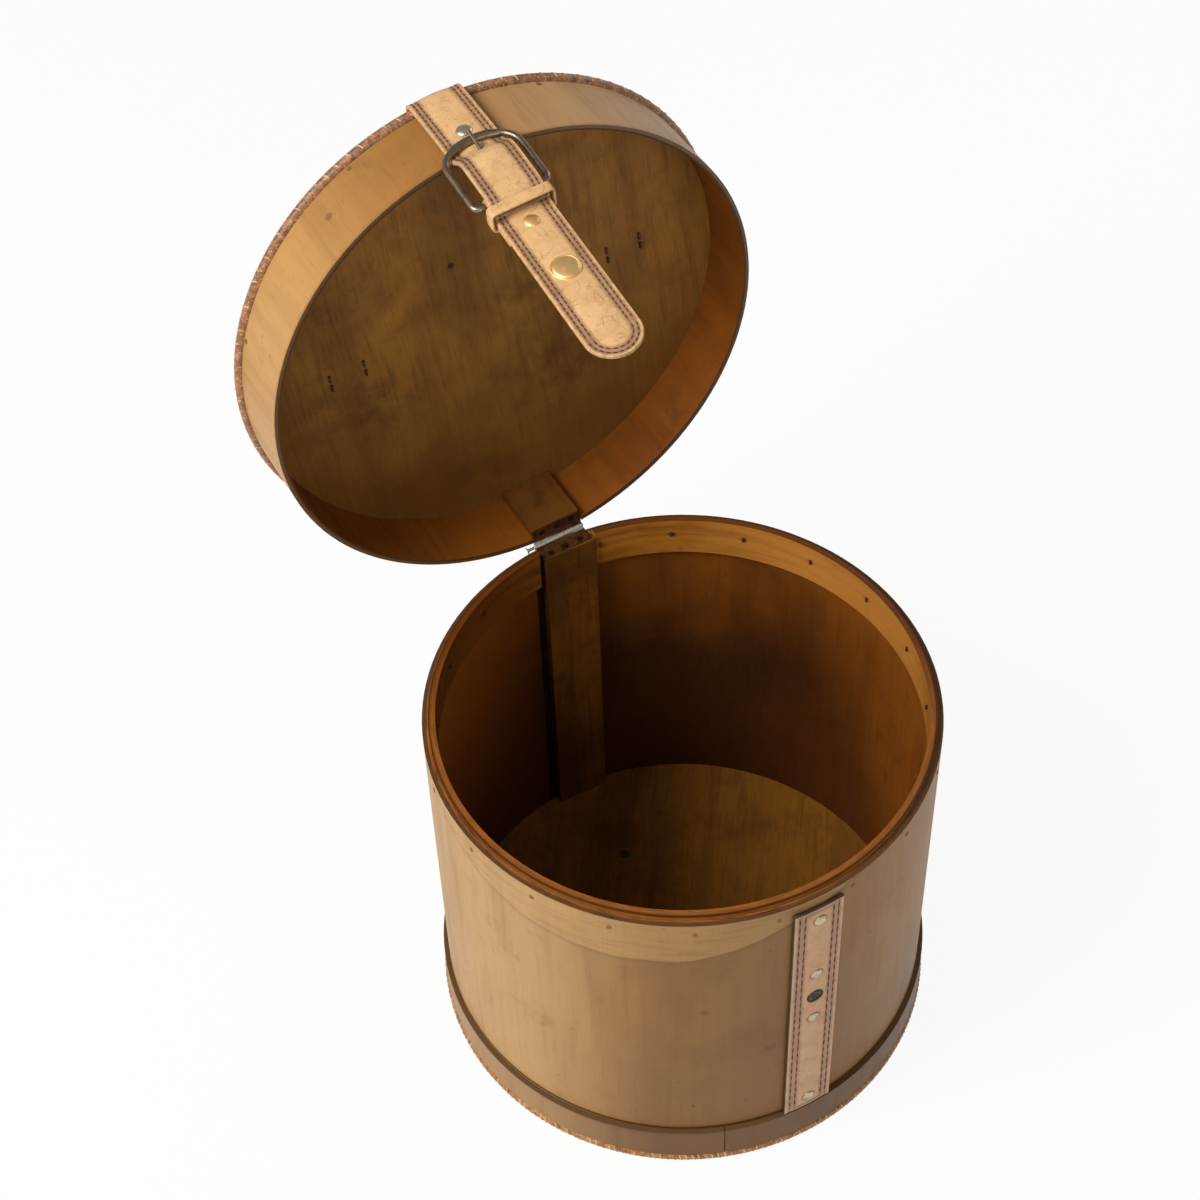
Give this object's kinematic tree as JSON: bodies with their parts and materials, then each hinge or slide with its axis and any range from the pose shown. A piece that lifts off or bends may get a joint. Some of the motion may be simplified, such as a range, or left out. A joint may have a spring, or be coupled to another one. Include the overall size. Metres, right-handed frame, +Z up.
{
  "type": "collar box",
  "caption": "Round bent wood box with a hinged lid, stitched leather buckle strap with press stud, rim lining and carry handle.",
  "frame": {"origin": "centre of the case's flat underside, on the surface it stands on", "axes": "+Z up the case, +Y from the strap at the front to the hinge at the back, +X to the right seen from the front"},
  "size_m": [0.2527, 0.3136, 0.4464],
  "materials": {
    "wall_veneer": "tan stained veneer, satin",
    "lining_veneer": "warm orange brown veneer, satin",
    "batten_wood": "dark stained softwood",
    "board_wood": "dark olive brown plywood, matte",
    "band_wood": "brown stained veneer, satin",
    "stitched_bead": "rust brown leather bead with tan whip stitches",
    "iron_nail": "dark iron",
    "catch_leather": "pinkish tan leather with brown stitching",
    "strap_leather": "pale tan crackled leather with brown stitching",
    "handle_leather": "tan leather",
    "nickel": "worn nickel plate",
    "aged_brass": "aged brass, satin",
    "dark_steel": "blackened steel",
    "pewter": "gunmetal, satin",
    "bright_steel": "bright steel",
    "worn_steel": "rusted brown steel"
  },
  "bodies": {
    "case": {"body_wall": "wall_veneer", "rim_lining": "lining_veneer", "seam_batten": "batten_wood", "floor_board": "board_wood", "base_band": "band_wood", "base_trim": "stitched_bead", "lining_nails": "iron_nail", "batten_nails": "iron_nail", "floor_nails": "iron_nail", "catch_strap": "catch_leather", "catch_strap_rivets": "nickel", "snap_socket": "dark_steel", "hinge_leaf_case": "worn_steel", "hinge_pin": "bright_steel", "hinge_screws_case": "worn_steel"},
    "lid": {"lid_wall": "wall_veneer", "lid_board": "board_wood", "lid_trim": "stitched_bead", "lid_nails": "iron_nail", "lid_cleat": "batten_wood", "hinge_leaf_lid": "worn_steel", "hinge_screws_lid": "worn_steel", "lid_strap": "strap_leather", "lid_strap_rivet": "nickel", "handle_strap": "handle_leather", "handle_staples": "nickel"},
    "strap": {"strap_tongue": "strap_leather", "buckle_frame": "pewter", "buckle_prong": "pewter", "keeper_loop": "strap_leather", "fold_strap": "strap_leather", "fold_rivet": "aged_brass"},
    "tab": {"snap_tab": "strap_leather", "snap_cap": "aged_brass", "snap_stud": "aged_brass"}
  },
  "joints": [
    {"name": "lid_hinge", "type": "hinge", "parent": "case", "child": "lid", "pos_m": [0, 0.12, 0.2], "axis": [0.9981, 0.0436, 0.0436], "range_deg": [0, 93]},
    {"name": "strap_sag", "type": "hinge", "parent": "lid", "child": "strap", "pos_m": [-0.02146, 0.13909, 0.43878], "axis": [-0.996, -0.0022, -0.0893], "range_deg": [0, 13.1]},
    {"name": "tab_lift", "type": "hinge", "parent": "strap", "child": "tab", "pos_m": [-0.02096, 0.0782, 0.43472], "axis": [-0.996, -0.0022, -0.0893], "range_deg": [-7, 80]}
  ],
  "couplings": [
    {"joint": "strap_sag", "follows": "lid_hinge", "ratio": 0.1409}
  ]
}
